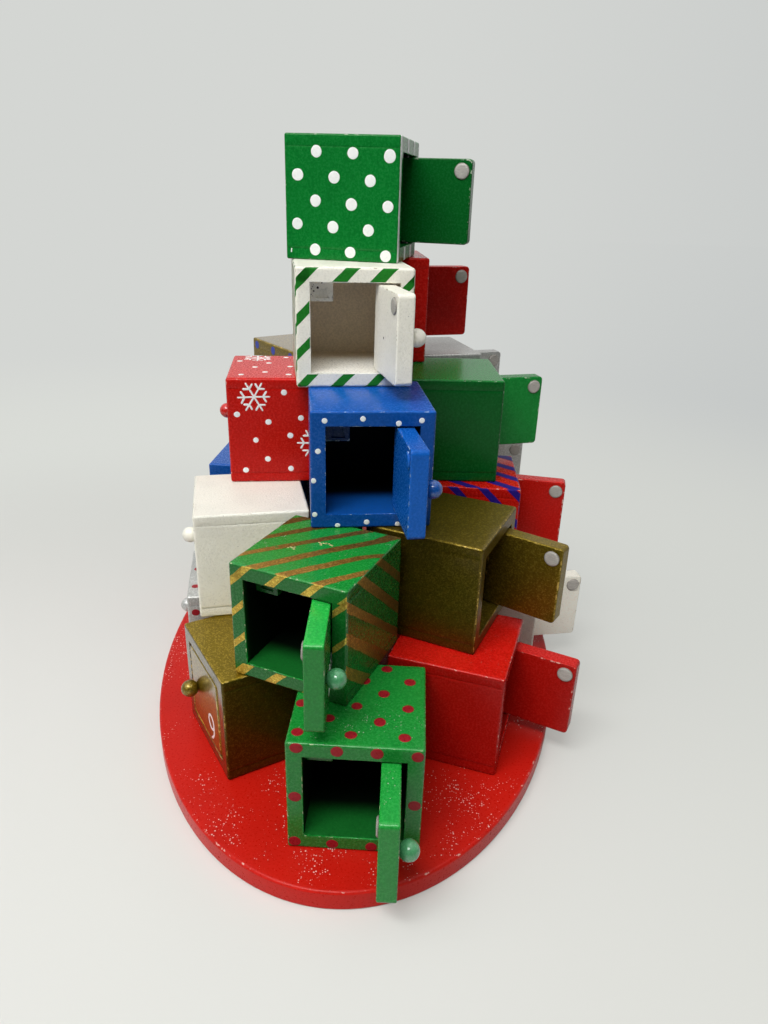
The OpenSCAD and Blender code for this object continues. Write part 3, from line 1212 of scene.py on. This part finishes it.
class Numeral:
    """A day's number, brushed on its door by hand.

    MIDDLE is the middle of a figure, and STEP the way to the next one, as shares of its height.
    """

    HEIGHT = 17.0
    SMALLER = 0.86
    CENTRE = (9.5, -13.7)
    WIDTH = 1.9
    MIDDLE = (0.3, 0.5)
    STEP = 0.78
    LEAN = 12.0
    DIGITS = {
        "0": [arc(0.3, 0.5, 0.28, 0.48, 90, 450, 24)],
        "1": [[(0.12, 0.78), (0.36, 0.99), (0.36, 0.0)]],
        "2": [arc(0.3, 0.73, 0.27, 0.26, 165, -35) + [(0.02, 0.02), (0.6, 0.02)]],
        "3": [arc(0.28, 0.76, 0.24, 0.23, 150, -80), arc(0.27, 0.28, 0.29, 0.27, 75, -150)],
        "4": [[(0.44, 0.0), (0.44, 1.0), (0.0, 0.32), (0.62, 0.32)]],
        "5": [[(0.56, 0.99), (0.12, 0.99), (0.07, 0.55)] + arc(0.27, 0.31, 0.3, 0.3, 130, -145)],
        "6": [[(0.5, 0.98)] + arc(0.52, 0.36, 0.48, 0.58, 110, 180)
              + arc(0.31, 0.29, 0.27, 0.28, 180, 530, 22)],
        "7": [[(0.02, 0.98), (0.58, 0.98), (0.22, 0.0)]],
        "8": [arc(0.3, 0.75, 0.23, 0.23, 270, 630, 20), arc(0.3, 0.27, 0.28, 0.27, 90, 450, 20)],
        "9": [arc(0.3, 0.7, 0.26, 0.28, 0, 350, 22) + arc(0.08, 0.64, 0.48, 0.64, 10, -82)],
    }

    def __init__(self, day: int) -> None:
        """Works out the height, middle and lean of the figures.

        Args:
            day: the day.
        """
        self.figures = str(day)
        self.height = self.HEIGHT * (self.SMALLER if len(self.figures) > 1 else 1.0)
        self.centre = (self.CENTRE[0] - (len(self.figures) - 1), self.CENTRE[1])
        self.tilt = math.radians(wobble(day, 0.7, self.LEAN))

    def lay(self, brush: Brush) -> None:
        """Paints the number.

        Args:
            brush: the brush.
        """
        cos, sin = math.cos(self.tilt), math.sin(self.tilt)
        for place, figure in enumerate(self.figures):
            middle = (place - (len(self.figures) - 1) / 2) * self.STEP
            for path in self.DIGITS[figure]:
                turned = []
                for x, y in path:
                    dx = (x - self.MIDDLE[0] + middle) * self.height
                    dy = (y - self.MIDDLE[1]) * self.height
                    turned.append((self.centre[0] + dx * cos - dy * sin,
                                   self.centre[1] + dx * sin + dy * cos))
                brush.stroke(FRONT, turned, self.WIDTH)


class Trim(Enum):
    """The paints of the dots, stripes and numbers."""

    WHITE = BrushedPaint("White trim", (248, 250, 247), (190, 200, 190), 0.0, rough=0.34, grain=0.3)
    CRIMSON = BrushedPaint("Dark red trim", (152, 26, 36), (150, 90, 80), 0.0, rough=0.3)
    BLUE = BrushedPaint("Blue trim", (58, 74, 170), (120, 150, 190), 0.0, rough=0.3)
    INDIGO = BrushedPaint("Indigo trim", (40, 26, 128), (120, 120, 170), 0.0, rough=0.4, sheen=0.1)
    GREEN = BrushedPaint("Green trim", (34, 124, 38), (150, 170, 150), 0.0, rough=0.32)
    GOLD = BrushedPaint("Gold trim", (200, 166, 70), (190, 170, 110), 0.0, rough=0.36, metal=0.6,
                        flake=0.5, grain=1.5)
    # The gold trim again, drawn darker and browner as painted shade, and darker still towards the back of
    # each face; its green worn patches are dry-brushing
    BRONZE = BrushedPaint("Dry-brushed gold trim", (150, 112, 44), (48, 112, 48), 1.7, rough=0.42,
                          metal=0.35, flake=0.6, grain=2.0, rear=0.42)
    SCUFF = BrushedPaint("Old scuff", (176, 172, 118), (90, 140, 80), 0.0, rough=0.6, grain=2.0)
    DARK = BrushedPaint("Old mark", (62, 52, 42), (80, 70, 60), 0.0, rough=0.7)


@dataclass(frozen=True)
class Tone:
    """Painted light and shade on one day's box: how much brighter than its paint its faces are drawn, and
    how much they shine.
    """

    box: float = 1.0
    door: float = 1.0
    door_top: float = 1.0
    top: float = 1.0
    glance: float = 0.0


# Looks of the base board, the fixings and each day's box

CATCH_STEEL = DullSteel("Catch disc steel", (196, 192, 184), 0.5, 0.3, 0.2)
FIXINGS = {
    "hinge_pins": DullSteel("Hinge pin steel", (150, 148, 143), 0.3, 0.3),
    "hinge_washers": DullSteel("Washer steel", (150, 148, 143), 0.42, 0.3),
    "base_screws": DullSteel("Screw steel", (160, 156, 146), 0.34, 0.4),
}
# The board's upright rim is drawn brighter than its paint by side: painted light
BASE_RED = BrushedPaint("Base board red paint", (196, 26, 15), (226, 190, 176), 0.12, dust=1.3, side=1.15,
                        rough=0.3, depth=1.8, grain=0.45)
PAINTS = [Paint[name] for name in (
    "LEAF BLUE BLUE GOLD GOLD SILVER RED GOLD GOLD RED SILVER WHITE RED WHITE GREEN RED SILVER BLUE RED "
    "GREEN WHITE LEAF WHITE GREEN").split()]
EASING = {12: 1.9, 16: 1.8, 24: 1.2}

# The disc of this day is painted over with its door
PAINTED_DISC_DAY = 3

# Where the grain of each kind of piece starts, so that no two pieces look alike
GRAINS = {"box": 0, "door": 40, "knob": 80, "disc": 120, "block": 160, "magnet": 180, "trim": 200,
          "pits": 230, "number": 240}

PITS = {12: {"door": Pits(-25, 1, ((1.9, -2.9, 1.5),)), "block": Pits(-23.5, -1, ((-21.3, 22.1, 1.5),
    (-23.7, 20.1, 1), (-18.9, 24.9, 0.9), (-25, 21.4, 0.6), (-24.3, 22.6, 0.6), (-23.8, 23.6, 0.5),
    (-25.2, 18.2, 0.6), (-24.6, 17.3, 0.5)))}}
DECORATION: dict[int, dict[Trim, tuple[Pattern, ...]]] = {
    24: {Trim.WHITE: (
        Dots(LEFT, 6.9, ((-15.5, 25.6), (6.7, 24.8), (28.7, 23.9), (-27, 12.8), (-4.6, 11.8), (17.5, 10.5),
            (-16.1, -1.4), (6.2, -2.6), (28.4, -3.3), (-27.6, -14.4), (-5.2, -15.6), (16.8, -16.7),
            (-16.6, -28.9), (5.5, -29.7), (27.7, -31.1))),
        DotRows(RIGHT, 6.9, 22, 13.4),
        DotRows(BACK, 6.9, 22, 13.4, (3, 4)),
        DotRows(TOP, 6.9, 22, 13.4, (-2, 1)),
        Stripes(FRONT, 0, ((-35, -31), (-11.6, -5.6), (11.4, 17.6), (32.4, 35)), FRAME),
        Dots(LEFT, 0.9, ((-31.6, -29), (-31.7, -29.8), (-31.7, -30.6))),
    )},
    16: {Trim.WHITE: (
        Snowflakes(RIGHT, ((-17.5, 23.1), (19.8, -7.9))),
        Dots(RIGHT, 3.9, ((1.4, 26), (-28.8, 11.6), (11.9, 9.2), (-9, 6.5), (4.9, -2.6), (-17.5, -5.6),
            (-10.2, -18.8), (-24.9, -26.4), (4.7, -25.6), (27, 22), (24, -27))),
        Snowflakes(TOP, ((-25.8, -17.6), (10, 20))),
        Dots(TOP, 3.9, ((-15.7, -29.4), (-28.2, 2), (-9.9, -9.3), (2.7, -18.1), (0.6, 5.1), (17.2, -10.9),
            (24.5, -25.8), (23.9, 4.4), (-14, 16), (-27, 26))),
        Snowflakes(LEFT, ((15, 14), (-17, -15))),
        Dots(LEFT, 3.9, ((-14, 10), (2, -4), (18, -20), (-28, 24), (28, -4))),
        Snowflakes(BACK, ((-14, 15), (17, -13))),
        Dots(BACK, 3.9, ((10, 12), (-8, -9), (-22, -24), (26, 24), (0, 28))),
    )},
    5: {Trim.BLUE: (
        DotRows(RIGHT, 6, 27.2, 13.4, (-0.8, 3.3)),
        DotRows(LEFT, 6, 27.2, 13.4),
        DotRows(FRONT, 6, 20.6, 15.5, (0, 0), FRAME),
    )},
    6: {Trim.CRIMSON: (
        DotRows(RIGHT, 5.2, 25, 13.4, (-5, -3.8)),
        DotRows(TOP, 5.2, 25, 15, (-4.7, 0)),
        DotRows(LEFT, 5.2, 25, 13.4),
        DotRows(BACK, 5.2, 25, 13.4, (3, 2)),
    )},
    3: {Trim.WHITE: (
        Dots(FRONT, 3.2, ((-26.9, 29.7), (-5.9, 30.7), (14.1, 28.1), (26.9, 29.8), (-30.6, 12.2),
            (-33.2, -5.3), (-32.8, -26), (-19.6, -33.2), (-2.7, -31.3), (15.5, -33), (30.8, 10.4),
            (31.6, -8.8), (30.2, -27.4))),
    )},
    1: {Trim.CRIMSON: (
        Dots(FRONT, 6.6, ((-29.1, 32.2), (-8.8, 31.5), (11, 31.4), (31.2, 30.7), (-30.5, 0.2), (31, -1),
            (-30.9, -30.6), (-11, -31.1), (9.4, -31.5), (31, -31))),
        Dots(TOP, 6.5, ((-29.9, -26.6), (-2.7, -26.6), (24.5, -26.5), (-15.2, -14.7), (11.3, -15.6),
            (-30.9, -3.9), (-1.6, -3.9), (25.5, -4), (-14.4, 7.4), (12.2, 7.4), (-28.6, 18), (1.1, 18),
            (26.2, 18.9), (-13.8, 29.6), (12.8, 30.2))),
        DotRows(LEFT, 6.5, 27.2, 11.3),
        DotRows(RIGHT, 6.5, 27.2, 11.3, (3, 1)),
    )},
    12: {Trim.GREEN: (
        FrameStripes(FRONT,
            top=((-63.6, -56.2), (-40.4, -32), (-18.6, -9.6), (3.5, 9.4)),
            left=((-63.6, -56.2), (-43, -35.8), (-22.3, -15.8)),
            bottom=((-1.4, 5), (20, 27), (41, 47.6)),
            right=((3.5, 9.4), (26.5, 33), (48.5, 54.5))),
        Stripes(RIGHT, 1, ((-58, -51.5), (-36, -29.6), (-14.4, -8), (7, 13.6), (28.8, 35), (50, 56.4))),
        Stripes(LEFT, 1, ((-54, -47.6), (-33, -26.6), (-11.6, -5), (9.4, 16), (31, 37.6), (52.6, 59))),
    ),
    Trim.DARK: (
        Dots(FRONT, 1.3, ((-33.1, -33.4), (28.9, 20.8))),
    )},
    22: {Trim.GOLD: (
        FrameStripes(FRONT,
            top=((-61, -55.4), (-39.9, -34.3), (-18.5, -13), (2.5, 6.5)),
            left=((-61, -55.4), (-41.2, -36.5), (-21.2, -16.3)),
            bottom=((-2, 5.4), (19.2, 25.6), (42, 48)),
            right=((4.5, 9), (26.3, 30.2), (47, 52))),
        Stripes(LEFT, 1, ((-50, -44), (-28, -22.4), (-7, -1), (15, 21), (37, 43), (58, 64))),
    ),
    Trim.BRONZE: (
        FreeBands(TOP, ((13.5, -36, 36, -7, 20.5, -36, 36, -14.5),
            (-7.6, -36, 22.2, 1.5, 0, -36, 28.5, 1.5), (22.2, 1.5, 36, 12.7, 28.5, 1.5, 36, 7),
            (-25.5, -36, 1.3, -0.4, -18.3, -36, 8.5, -0.4), (1.3, -0.4, 22.2, 24.2, 8.5, -0.4, 29.5, 24.2),
            (22.2, 24.2, 28, 36, 29.5, 24.2, 36, 34), (-36, -23, 13.5, 36, -36, -29.7, 20, 36),
            (-36, -0.5, -8, 36, -36, -6.5, -0.2, 36), (-36, 25, -27.5, 36, -36, 14.5, -20, 36))),
        FreeBands(RIGHT, ((5.4, 35.8, 35, 11.5, -2.5, 36, 35, 5), (-15.4, 34.5, 36, -9, -24, 34.5, 36, -17),
            (-35, 29.5, 35, -26, -35, 23.2, 35, -31.8), (-36, 12, 22, -35, -36, 5.2, 11.5, -36),
            (-36, -8, -3, -35, -36, -15, -13, -36))),
        Stripes(BACK, 1, ((-48, -42), (-26, -20.4), (-5, 1), (17, 23), (39, 45), (60, 66))),
    ),
    Trim.SCUFF: (
        Dots(TOP, 1.5, ((-3.6, 7.4), (-2.2, 6.4), (-0.9, 7.5), (0.6, 8), (2, 8.2), (3.3, 7.6), (4.6, 7),
            (-1.2, 5.2), (-14.6, -4.6), (-13.2, -5.4), (-11.8, -6.2), (-12.6, -4), (-15.6, -6))),
    )},
    19: {Trim.INDIGO: (
        FreeBands(TOP, ((20.5, -36, 36, -15.3, 29.8, -36, 36, -27.7),
            (-1, -36, 36, 13.3, 7.2, -36, 36, 2.4), (-21.4, -36, 32.6, 36, -13.5, -36, 36, 30),
            (-36, -28.5, 12.4, 36, -34, -36, 20, 36), (-36, 0, -9, 36, -36, -9.5, -1.9, 36),
            (-36, 27, -29, 36, -36, 17.5, -22, 36))),
        Stripes(LEFT, -1, ((-60, -53.6), (-41, -34.6), (-20.5, -14), (0.2, 6.8), (20.4, 27.1), (40.4, 47.1),
            (60, 66.6))),
        Stripes(FRONT, 1, ((-58, -51.6), (-37, -30.6), (-16, -9.6), (6, 12.6), (27, 33.6), (49, 55.6)),
            FRAME),
        Stripes(RIGHT, 1, ((-52, -45.6), (-30, -23.6), (-8, -1.6), (14, 20.4), (36, 42.4), (58, 64.4))),
        Stripes(BACK, 1, ((-55, -48.6), (-33, -26.6), (-11, -4.6), (11, 17.4), (33, 39.4), (55, 61.4))),
    )},
}
# Painted light and shade on some days' boxes and doors: faces drawn brighter or darker than their paint, by
# how much light falls on them
PAINTED_LIGHT = {
    1: Tone(door=1.25, door_top=1.3),
    3: Tone(box=0.92, door=1.4),
    5: Tone(glance=0.85),
    8: Tone(box=0.5, door=0.8, top=0.8),
    9: Tone(box=0.42, top=1.3, glance=0.85),
    12: Tone(door=1.06),
    13: Tone(box=0.74, door=0.8),
    14: Tone(top=0.93),
    20: Tone(box=0.55, door=1.35),
    21: Tone(door=1.1),
    22: Tone(box=0.68, door=1.1, door_top=1.7),
    24: Tone(door=0.6),
}


# One day


@dataclass
class DayBox:
    """One day's box with its door, knob, disc, magnet block and painted trim."""

    day: int
    paint: Paint
    pivot: Pair = (18.3, -30.0)
    magnet: Pair = (-18.8, 18.1)
    # How bright the blocks of the blue boxes are drawn: painted shade
    block_tone: float = 0.4

    def __post_init__(self) -> None:
        """Reads the box's place and the door's rest angle from the frame."""
        self.label = f"{self.day:02d}"
        node = f"box_{self.label}"
        low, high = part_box(node)
        joint = next(j for j in frame["joints"] if j["name"] == f"door_{self.label}_hinge")
        centre = (low + high) / 2
        arm = Vector(joint["pos_m"]) - centre
        turn = math.atan2(arm.y, arm.x) - math.atan2(self.pivot[1], self.pivot[0])
        self.place = Matrix.Translation(centre) @ Matrix.Rotation(turn, 4, "Z")
        rest = math.radians(-joint["range_deg"][0])
        hinge = Matrix.Translation(Vector((*self.pivot, 0)) * MM)
        self.swung = self.place @ hinge @ Matrix.Rotation(rest, 4, "Z") @ hinge.inverted()
        self.wrap = Wrap(EASING.get(self.day, 1.5))

    def build(self) -> None:
        """Makes every piece of the day and dresses it."""
        paint, name, painted_light = self.paint, self.label, PAINTED_LIGHT.get(self.day, Tone())
        # The paint with this day's painted light and shade, on the box and on the door
        out = paint.toned(f"on box {name}", painted_light.box, painted_light.top, painted_light.glance)
        leaf = paint.toned(f"on door {name}", painted_light.door, painted_light.door_top, painted_light.glance)
        coat = out
        # The blocks and magnets of the blue boxes are drawn darker: painted shade
        if paint is Paint.BLUE:
            coat = paint.toned(f"on block {name}", self.block_tone, self.block_tone)
        disc = leaf if self.day == PAINTED_DISC_DAY else CATCH_STEEL
        holder = MagnetHolder(self.magnet)
        box = self._add("box", Carcass(self.wrap).draft(), [out, paint.inside()], paint.slot)
        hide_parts(f"box_{name}")
        door = self._add("door", DoorLeaf().draft(), [leaf], paint.slot, True)
        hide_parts(f"door_{name}")
        self._add("knob", BallKnob().draft(), [paint.knob()], paint.slot, True)
        self._add("disc", CatchDisc(self.magnet).draft(self.day), [disc], "plated_steel", True)
        self._add("block", holder.block(), [coat], "block_paint")
        self._add("magnet", holder.magnet(), [coat], "magnet_metal")
        for number, (trim, patterns) in enumerate(DECORATION.get(self.day, {}).items()):
            brush = Brush(self.wrap.place, self.wrap.ticks(FRAME, 0.0))
            for pattern in patterns:
                pattern.lay(brush)
            self._add("trim", brush.draft, [trim.value], ending=f"-{trim.name.lower()}", layer=number)
        for part, pits in PITS.get(self.day, {}).items():
            self._add("pits", pits.draft(), [Trim.DARK.value], swings=part == "door", ending=f"-{part}")
        brush = Brush(lambda face, u, v, lift: Vector((u, -HALF - lift, v)))
        Numeral(self.day).lay(brush)
        ink = Trim.CRIMSON if paint in (Paint.WHITE, Paint.SILVER) else Trim.WHITE
        self._add("number", brush.draft, [ink.value], swings=True)

    def _add(self, kind: str, draft: Draft, finishes: Sequence[Finish], slot: str = "trim_paint",
             swings: bool = False, ending: str = "", layer: int = 0) -> bpy.types.Object:
        """Makes one piece of the day.

        Args:
            kind: first word of its name.
            draft: its shape.
            finishes: its finishes.
            slot: the record's slot; painted trim has its own, and its mesh is open.
            swings: it rides on the door.
            ending: last part of its name.
            layer: number of a layer of trim.

        Returns:
            The piece.
        """
        place, body = (self.swung, f"leaf_{self.label}") if swings else (self.place, "root")
        return draft.build(f"{kind}-{self.label}{ending}", finishes, place, body, slot,
                           slot != "trim_paint", self.day + GRAINS[kind] + layer)


@dataclass
class BaseBoard:
    """The oval board under the boxes."""

    across: float = 145.3
    along: float = 247.9
    thick: float = 12.0
    ease: float = 1.8
    foot: float = 0.05
    steps: int = 288

    def build(self) -> None:
        """Makes the board from rings that follow its rounded rim."""
        draft = Draft()
        levels = [(0.9, 0.0, 0.3), (0.3, 0.25, 1.0), (0.0, 0.9, 0.3)]
        for share, nearness in ((0.0, 0.5), (0.25, 0.5), (0.5, 1.0), (0.75, 1.0), (1.0, 0.5)):
            angle = math.radians(90 * share)
            levels.append((self.ease * (1 - math.cos(angle)),
                           self.thick - self.ease * (1 - math.sin(angle)), nearness))
        levels.append((self.ease + 2.0, self.thick, 0.0))
        rings = []
        for back, height, nearness in levels:
            points = []
            for i in range(self.steps):
                angle = math.tau * i / self.steps
                cos, sin = math.cos(angle), math.sin(angle)
                away = Vector((cos / self.across, sin / self.along, 0)).normalized()
                points.append(Vector((self.across * cos, self.along * sin, 0)) - away * back
                              + Vector((0, 0, max(height, self.foot))))
            rings.append(draft.ring(points, nearness))
        draft.tube(rings)
        draft.face(rings[0])
        draft.face(rings[-1])
        board = draft.build("base-board", [BASE_RED], Matrix.Identity(4), "root", "red_paint")
        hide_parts("base_board")


def dress_fixings() -> None:
    """Gives the pins, washers and screws, which stay as they are in the frame, their finishes."""
    for name, finish in FIXINGS.items():
        node = frame["nodes"][name]
        node.data.materials.clear()
        node.data.materials.append(material(finish))
        log.info("%s in %s", name, finish.name)


# Room


@dataclass
class Studio:
    """The pale table, the soft lamps and the camera at the photograph's angle."""

    backdrop: tuple[Colour, Colour] = ((212, 214, 211), (198, 201, 200))
    # Colours of the painted light the table glows with, at the front and at the back
    haze: tuple[Colour, Colour] = ((226, 227, 221), (214, 216, 211))
    table: float = 0.72
    bounce: float = 0.45
    lens: float = 25.61
    half_table: float = 6.0
    under: float = 0.0003
    aim: Triple = (0.0, 0.0, 0.15)
    spot: Triple = (0.02457, -0.50252, 0.3321)
    turns: tuple[tuple[float, str], ...] = ((1.116, "Z"), (66.257, "X"), (1.836, "Z"))

    def build(self) -> None:
        """Makes the table, the surroundings, the lamps and the camera."""
        self._table()
        self._surroundings()
        self._lamp("Bar lamp", (-0.3, -0.8, 1.28), (0.9, 0.3), 12.5)
        self._lamp("Left lamp", (-2.2, -1.5, 3.1), (3.5, 3.5), 54.0)
        self._lamp("Top lamp", (0.2, -0.6, 3.5), (4.5, 4.5), 52.0)
        self._camera()

    def _table(self) -> None:
        """Makes a wide table that glows with painted light away from the calendar and fades into the
        backdrop far from it.
        """
        mesh = bpy.data.meshes.new("Table")
        corners = [(x * self.half_table, y * self.half_table, 0) for x, y in SQUARE]
        mesh.from_pydata(corners, [], [(0, 1, 2, 3)])
        table = linked("Table", mesh)
        table.location.z = -self.under
        sheet = NodeSheet(bpy.data.materials.new("White table"))
        where = sheet.add("TexCoord", output="Object")
        x, y = sheet.axis(where, "X"), sheet.axis(where, "Y")
        shifted = sheet.vector("ADD", where, (0.2, 0.12, 0.0))
        away = sheet.add("VectorMath", {0: shifted}, "Value", operation="LENGTH")
        seen = sheet.add("LightPath", output="Is Camera Ray")
        # The matt table: less bright to diffuse rays, so that it lights the boxes' sides less
        pale = (self.table, self.table, self.table * 0.955, 1.0)
        dim = (self.bounce, self.bounce, self.bounce, 1.0)
        lit = sheet.mix(seen.node.outputs["Is Diffuse Ray"], pale, dim)
        spread = sheet.mix(sheet.ramp(y, -1.1, -0.55), (0.03, 0.03, 0.03, 1.0), lit)
        matt = sheet.add("BsdfDiffuse", {"Color": sheet.mix(seen, spread, pale)})
        # Painted light: away from the calendar the camera sees the table glow, brighter at the front and
        # left than at the back and right, which softens the shadows there; further off it glows in the
        # backdrop's colour
        haze = sheet.mix(sheet.ramp(y, -0.42, 0.12), *(linear(colour) for colour in self.haze))
        haze = sheet.scaled(haze, sheet.ramp(x, -0.4, 0.4, 1.04, 0.96))
        aside = sheet.axis(sheet.add("VectorMath", {0: where}, operation="NORMALIZE"), "X")
        far = sheet.mix(sheet.ramp(away, 0.6, 1.3), haze, self._wall(sheet, aside))
        share = sheet.times(sheet.ramp(away, 0.12, 0.6), seen)
        mesh.materials.append(sheet.show(sheet.blend(share, matt, sheet.add("Emission", {"Color": far}))))
        log.info("white table")

    def _wall(self, sheet: NodeSheet, aside: Socket) -> Socket:
        """Mixes the backdrop's colour, with painted shade that darkens it a little towards the right."""
        return sheet.mix(sheet.ramp(aside, -0.1, 0.75), *(linear(colour) for colour in self.backdrop))

    def _surroundings(self) -> None:
        """Makes the pale backdrop, and the dimmer room that the paints mirror."""
        world = bpy.data.worlds.new("Studio")
        bpy.context.scene.world = world
        sheet = NodeSheet(world)
        way = sheet.add("TexCoord", output="Generated")
        seen = sheet.add("LightPath", output="Is Camera Ray")
        behind = sheet.ramp(sheet.axis(way, "Y"), -0.3, 0.3, 0.04, 0.74)
        room = sheet.add("Background", {"Color": (1.0, 1.0, 0.99, 1.0), "Strength": behind})
        dim = sheet.add("Background", {"Color": (1.0, 0.985, 0.95, 1.0), "Strength": 0.1})
        shown = sheet.add("Background", {"Color": self._wall(sheet, sheet.axis(way, "X"))})
        mirrored = sheet.blend(seen.node.outputs["Is Glossy Ray"], dim, room)
        sheet.show(sheet.blend(seen, mirrored, shown))
        log.info("pale backdrop")

    def _lamp(self, name: str, spot: Triple, size: Pair, power: float) -> None:
        """Adds a soft lamp that shines on the calendar.

        Args:
            name: the lamp's name.
            spot: its place.
            size: its width and height.
            power: its power in watts.
        """
        data = bpy.data.lights.new(name, "AREA")
        data.shape = "RECTANGLE"
        data.size, data.size_y = size
        data.energy = power
        lamp = linked(name, data)
        lamp.location = spot
        aim = Vector(self.aim) - Vector(spot)
        lamp.rotation_euler = aim.to_track_quat("-Z", "Y").to_euler()
        lamp.visible_camera = False
        log.info("%s", name.lower())

    def _camera(self) -> None:
        """Puts the camera where the photograph was taken."""
        data = bpy.data.cameras.new("Camera")
        data.lens = self.lens
        data.sensor_width = 36.0
        camera = linked("Camera", data)
        place = Matrix.Translation(self.spot)
        for degrees, axis in self.turns:
            place = place @ Matrix.Rotation(math.radians(degrees), 4, axis)
        camera.matrix_world = place
        bpy.context.scene.camera = camera
        bpy.context.scene.view_settings.view_transform = "Standard"
        log.info("camera")


def main() -> None:
    """Builds the calendar from the base board up, then the room round it."""
    logging.basicConfig(level=logging.INFO, format="%(message)s")
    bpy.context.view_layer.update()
    BaseBoard().build()
    for day, paint in enumerate(PAINTS, 1):
        DayBox(day, paint).build()
    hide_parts("magnet_blocks")
    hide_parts("magnets")
    dress_fixings()
    Studio().build()


if __name__ == "__main__":
    main()
